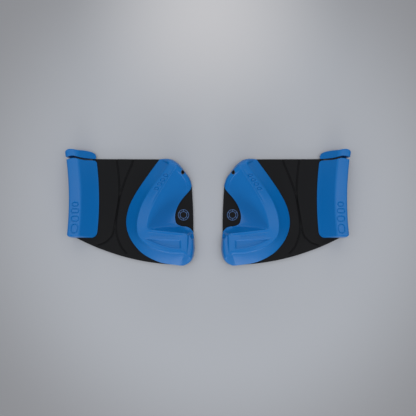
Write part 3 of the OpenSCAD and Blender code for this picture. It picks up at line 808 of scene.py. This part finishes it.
def panelDrop(p, x, y, outline, paths):
    # how far the face lies below its plane: the calf valley, which is a parabola across the
    # panel, then both grooves, then the edge's quarter circle
    half = math.sqrt(2 * p["valleyRadius"] * p["valleyDepth"])
    valleyX = barLow[0] - half - 1 * mm
    drop = np.clip(p["valleyDepth"] - (x - valleyX)**2 / (2 * p["valleyRadius"]), 0, None)
    for path in paths:
        far = np.full(len(x), 1e9)
        for a, b in zip(path, path[1:]):
            far = np.minimum(far, barDistance(x, y, a, b, 0))
        drop += p["grooveDepth"] * (1 - smoothStep(0, p["grooveWidth"] / 2 * 1.25, far))
    depth = np.clip(p["edgeRound"] + polygonDistance(x, y, outline), 0, p["edgeRound"])
    return drop + p["edgeRound"] - np.sqrt(np.maximum(p["edgeRound"]**2 - depth**2, 0))


def makePanel(sideName, side):
    outline, paths = panelOutline(panel), groovePaths(panel)
    flat, faces, rim = panelPlan(panel, outline, paths)
    drop = panelDrop(panel, flat[:, 0], flat[:, 1], outline, paths)
    vertices, levels = [np.column_stack([flat, faceZ - drop])], [rim]
    # the outline's points, in order, carry the side down to the back
    first, count = len(flat), len(rim)
    for inset, lift in ((0, 0.8 * mm), (0.25 * mm, 0.25 * mm), (0.8 * mm, 0)):
        ring = insetLoop(outline, inset)
        vertices.append(np.column_stack([ring, np.full(count, panelLow[2] + lift)]))
        levels.append(list(range(first, first + count)))
        first += count
    faces += quadStrips(levels) + [tuple(reversed(levels[-1]))]
    return newObject(sideName + "_panel_moulding", np.vstack(vertices), faces, side, 40)


class Wire:
    # a shader socket that takes part in sums; each operator adds a Math node
    def __init__(self, shade, socket):
        self.shade, self.socket = shade, socket

    def through(self, operation, *values):
        return self.shade.node("Math", {"operation": operation}, list(values))

    def __add__(self, other):
        return self.through("ADD", self, other)

    def __radd__(self, other):
        return self.through("ADD", other, self)

    def __sub__(self, other):
        return self.through("SUBTRACT", self, other)

    def __rsub__(self, other):
        return self.through("SUBTRACT", other, self)

    def __mul__(self, other):
        return self.through("MULTIPLY", self, other)

    def __rmul__(self, other):
        return self.through("MULTIPLY", other, self)


class Shade:
    # a material under construction
    def __init__(self, name):
        self.material = bpy.data.materials.new(name)
        self.material.use_nodes = True
        self.tree = self.material.node_tree
        self.surface = self.tree.nodes["Principled BSDF"]

    def node(self, kind, settings=None, inputs=None, output=0):
        # settings are set first; inputs are a list by place or a dictionary by name
        made = self.tree.nodes.new("ShaderNode" + kind)
        for name, value in (settings or {}).items():
            setattr(made, name, value)
        pairs = enumerate(inputs) if isinstance(inputs, list) else (inputs or {}).items()
        for place, value in pairs:
            self.feed(made.inputs[place], value)
        return Wire(self, made.outputs[output])

    def feed(self, socket, value):
        if isinstance(value, Wire):
            self.tree.links.new(value.socket, socket)
        else:
            socket.default_value = value

    def place(self):
        return self.node("TexCoord", output="Object")

    def noise(self, scale, detail=2.0, roughness=0.5):
        return self.node("TexNoise", {}, {"Vector": self.place(), "Scale": scale,
                                          "Detail": detail, "Roughness": roughness})

    def cells(self, scale):
        # distance from the middle of the nearest cell
        return self.node("TexVoronoi", {"feature": "F1"},
                         {"Vector": self.place(), "Scale": scale}, "Distance")

    def blend(self, share, first, second):
        # each colour is three numbers or a wire
        pair = [c if isinstance(c, Wire) else (*c, 1) for c in (first, second)]
        return self.node("Mix", {"data_type": "RGBA"}, {0: share, 6: pair[0], 7: pair[1]}, 2)

    def bump(self, height, distance, strength, under=None):
        inputs = {"Strength": strength, "Distance": distance, "Height": height}
        if under is not None:
            inputs["Normal"] = under
        return self.node("Bump", {}, inputs)

    def finish(self, **sockets):
        for name, value in sockets.items():
            self.feed(self.surface.inputs[name.replace("_", " ")], value)
        return self.material


# for each finish: its darker and lighter colour, its roughness and how far that varies;
# scales are cells to the metre, and bumps are in metres
finishes = {
    "foam": {"name": "moulded foam, blue", "dark": (0.001, 0.112, 0.358),
             "light": (0.0014, 0.126, 0.392), "roughness": 0.28, "varies": 0.10,
             "specular": 0.22, "cloud": 9, "grain": 1500, "grainBump": 0.00006,
             "pebble": 620, "pebbleBump": 0.00018},
    "panel": {"name": "moulded panel, black", "dark": (0.0062, 0.0063, 0.0070),
              "light": (0.0080, 0.0082, 0.0090), "roughness": 0.66, "varies": 0.12,
              "specular": 0.1, "cloud": 14, "grain": 1300, "grainBump": 0.00012},
    "mark": {"name": "raised ring, muted blue", "dark": (0.012, 0.066, 0.190),
             "light": (0.018, 0.084, 0.235), "roughness": 0.5, "varies": 0.1, "grain": 900},
    "hooks": {"name": "hook tape, black", "dark": (0.010, 0.010, 0.011),
              "light": (0.024, 0.024, 0.026), "roughness": 0.75, "varies": 0.1,
              "specular": 0.3, "weave": 400, "hook": 700, "hookBump": 0.0006},
    "loops": {"name": "loop cloth, black", "dark": (0.012, 0.012, 0.013),
              "light": (0.035, 0.035, 0.037), "roughness": 0.95, "sheen": 0.3,
              "fibre": 1100, "fibreBump": 0.0005},
    "nylon": {"name": "plate nylon, black", "dark": (0.012, 0.012, 0.013),
              "light": (0.018, 0.018, 0.019), "roughness": 0.42, "varies": 0.1,
              "grain": 1500, "grainBump": 0.00005},
    "brass": {"name": "insert brass", "dark": (0.55, 0.38, 0.14),
              "light": (0.72, 0.52, 0.22), "roughness": 0.3, "varies": 0.12, "wear": 600},
    "zinc": {"name": "zinc screw", "dark": (0.42, 0.43, 0.45),
             "light": (0.62, 0.63, 0.65), "roughness": 0.28, "varies": 0.12, "wear": 600},
}


def foamBlue(p):
    # soft clouds of colour, with a fine pebble and a finer grain over it
    shade = Shade(p["name"])
    cloud = shade.noise(p["cloud"], 3, 0.55)
    grain = shade.noise(p["grain"], 2, 0.6)
    under = shade.bump(shade.cells(p["pebble"]), p["pebbleBump"], 0.5)
    return shade.finish(Base_Color=shade.blend(cloud, p["dark"], p["light"]),
                        Roughness=p["roughness"] + p["varies"] * grain,
                        Normal=shade.bump(grain, p["grainBump"], 0.5, under),
                        Specular_IOR_Level=p["specular"])


def panelBlack(p):
    shade = Shade(p["name"])
    cloud = shade.noise(p["cloud"], 3, 0.5)
    grain = shade.noise(p["grain"], 3, 0.65)
    return shade.finish(Base_Color=shade.blend(cloud, p["dark"], p["light"]),
                        Roughness=p["roughness"] + p["varies"] * grain,
                        Normal=shade.bump(grain, p["grainBump"], 0.6),
                        Specular_IOR_Level=p["specular"])


def markBlue(p):
    shade = Shade(p["name"])
    grain = shade.noise(p["grain"])
    return shade.finish(Base_Color=shade.blend(grain, p["dark"], p["light"]),
                        Roughness=p["roughness"] + p["varies"] * grain)


def hookTape(p):
    # small hooks on a woven ground
    shade = Shade(p["name"])
    weave = shade.noise(p["weave"], 2, 0.6)
    return shade.finish(Base_Color=shade.blend(weave, p["dark"], p["light"]),
                        Roughness=p["roughness"] + p["varies"] * weave,
                        Normal=shade.bump(1 - shade.cells(p["hook"]), p["hookBump"], 0.8),
                        Specular_IOR_Level=p["specular"])


def loopCloth(p):
    shade = Shade(p["name"])
    fibre = shade.noise(p["fibre"], 4, 0.7)
    return shade.finish(Base_Color=shade.blend(fibre, p["dark"], p["light"]),
                        Roughness=p["roughness"], Sheen_Weight=p["sheen"],
                        Normal=shade.bump(fibre, p["fibreBump"], 0.8))


def nylonBlack(p):
    shade = Shade(p["name"])
    grain = shade.noise(p["grain"])
    return shade.finish(Base_Color=shade.blend(grain, p["dark"], p["light"]),
                        Roughness=p["roughness"] + p["varies"] * grain,
                        Normal=shade.bump(grain, p["grainBump"], 0.5))


def bareMetal(p):
    shade = Shade(p["name"])
    wear = shade.noise(p["wear"], 3, 0.6)
    return shade.finish(Base_Color=shade.blend(wear, p["dark"], p["light"]), Metallic=1.0,
                        Roughness=p["roughness"] + p["varies"] * wear)


foam = foamBlue(finishes["foam"])
black = panelBlack(finishes["panel"])
mark = markBlue(finishes["mark"])
hooks = hookTape(finishes["hooks"])
loops = loopCloth(finishes["loops"])
nylon = nylonBlack(finishes["nylon"])
brass = bareMetal(finishes["brass"])
zinc = bareMetal(finishes["zinc"])
print("materials made")


def finishWith(piece, material):
    piece.data.materials.clear()
    piece.data.materials.append(material)


# the nodes that are shown as they are
nodeFinish = {
    "backing_sheet": hooks, "position_mark": mark,
    "front_loop_sheet": loops, "front_hook_sheet": hooks, "front_base_plate": nylon,
    "front_inserts": brass, "front_screws": zinc,
    "rear_loop_sheet": loops, "rear_hook_sheet": hooks, "rear_base_plate": nylon,
    "rear_inserts": brass, "rear_screws": zinc,
}
# the nodes that a new piece stands for: what makes it, its slot and its finish
newPieces = {
    "front_pad": (makeFront, "pad_blue", foam),
    "rear_pad": (makeBar, "pad_blue", foam),
    "top_block": (makeBlock, "pad_blue", foam),
    "side_panel": (makePanel, "panel_black", black),
    "front_eyelet": (makeEyelet, "eyelet_black", nylon),
}
for sideName, side in sides.items():
    for node, material in nodeFinish.items():
        finishWith(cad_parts[sideName + "_" + node], material)
    for node, (make, slot, material) in newPieces.items():
        piece = make(sideName, side)
        finishWith(piece, material)
        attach(piece, "root")
        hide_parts(sideName + "_" + node)
    print(sideName, "pad made")


# the camera looks straight down; the width is what it sees at the floor
view = {"height": 1.25, "width": 1.1648, "middleY": 0.75 * mm}


def makeCamera(p):
    data = bpy.data.cameras.new("camera")
    data.angle = 2 * math.atan(p["width"] / 2 / p["height"])
    data.clip_end = 50
    camera = bpy.data.objects.new("camera", data)
    camera.location = (0, p["middleY"], p["height"])
    bpy.context.scene.collection.objects.link(camera)
    bpy.context.scene.camera = camera


def makeLamp(name, place, size, power):
    data = bpy.data.lights.new(name, "AREA")
    data.shape = "RECTANGLE"
    data.size, data.size_y = size
    data.energy = power
    lamp = bpy.data.objects.new(name, data)
    lamp.location = place
    lamp.rotation_mode = "QUATERNION"
    lamp.rotation_quaternion = (Vector((0, 0, 0)) - Vector(place)).to_track_quat("-Z", "Y")
    bpy.context.scene.collection.objects.link(lamp)


# the floor's colour holds painted light and shade: the middle and a patch above it are a painted
# pool of light, the ring round them is painted shade, and far out it turns a middling grey
# a reach is its centre, then the two distances between which it fades
ground = {
    "half": 6.0,
    "middle": (0.375, 0.388, 0.415), "paintedLightMiddleReach": (0.03, 0, 0.40, 0.86),
    "paintedShadeAround": (0.25, 0.252, 0.264),
    "paintedLightPool": (0.50, 0.495, 0.505), "paintedLightPoolReach": (0, 0.56, 0, 0.42),
    "far": (0.33, 0.335, 0.345), "farReach": (0, 0, 0.95, 1.9),
}


def makeFloor(p):
    shade = Shade("floor, pale grey with painted light and shade")
    x, y = (shade.node("SeparateXYZ", {}, [shade.place()], axis) for axis in "XY")

    def near(across, up, start, end):
        # 1 up to the start distance from a point, falling to 0 at the end distance
        square = (x - across) * (x - across) + (y - up) * (y - up)
        return shade.node("MapRange", {"interpolation_type": "SMOOTHSTEP"},
                          {"Value": shade.node("Math", {"operation": "SQRT"}, [square]),
                           "From Min": start, "From Max": end, "To Min": 1.0, "To Max": 0.0})

    # painted light and shade: a painted pool of light in the middle, painted shade round it, a
    # brighter painted pool of light above it, and middling grey far out
    colour = shade.blend(near(*p["paintedLightMiddleReach"]), p["paintedShadeAround"], p["middle"])
    colour = shade.blend(near(*p["paintedLightPoolReach"]), colour, p["paintedLightPool"])
    colour = shade.blend(near(*p["farReach"]), p["far"], colour)
    half = p["half"]
    corners = [(-half, -half, 0), (half, -half, 0), (half, half, 0), (-half, half, 0)]
    floor = newObject("floor", corners, [(0, 1, 2, 3)])
    finishWith(floor, shade.finish(Base_Color=colour, Roughness=0.9, Specular_IOR_Level=0.1))


studio = {"colour": (0.93, 0.96, 1.0), "strength": 0.45}
lamps = {
    # place, width and height, power; each one points at the origin
    "overhead": ((0, 0, 2.6), (2.4, 2.0), 15),
    "overhead strip": ((0, 0, 2.6), (4.2, 0.7), 25),
    "lower side": ((0, -2.4, 0.5), (2.6, 0.6), 35),
    "upper side": ((0, 2.4, 0.5), (2.6, 0.6), 14),
    "upper high": ((0, 1.7, 1.9), (2.4, 0.9), 9),
}


def makeWorld(p):
    world = bpy.data.worlds.new("studio")
    bpy.context.scene.world = world
    world.use_nodes = True
    back = world.node_tree.nodes["Background"]
    back.inputs["Color"].default_value = (*p["colour"], 1)
    back.inputs["Strength"].default_value = p["strength"]


makeCamera(view)
for name, (place, size, power) in lamps.items():
    makeLamp(name, place, size, power)
makeFloor(ground)
makeWorld(studio)
bpy.context.scene.view_settings.view_transform = "Standard"
print("stage made")
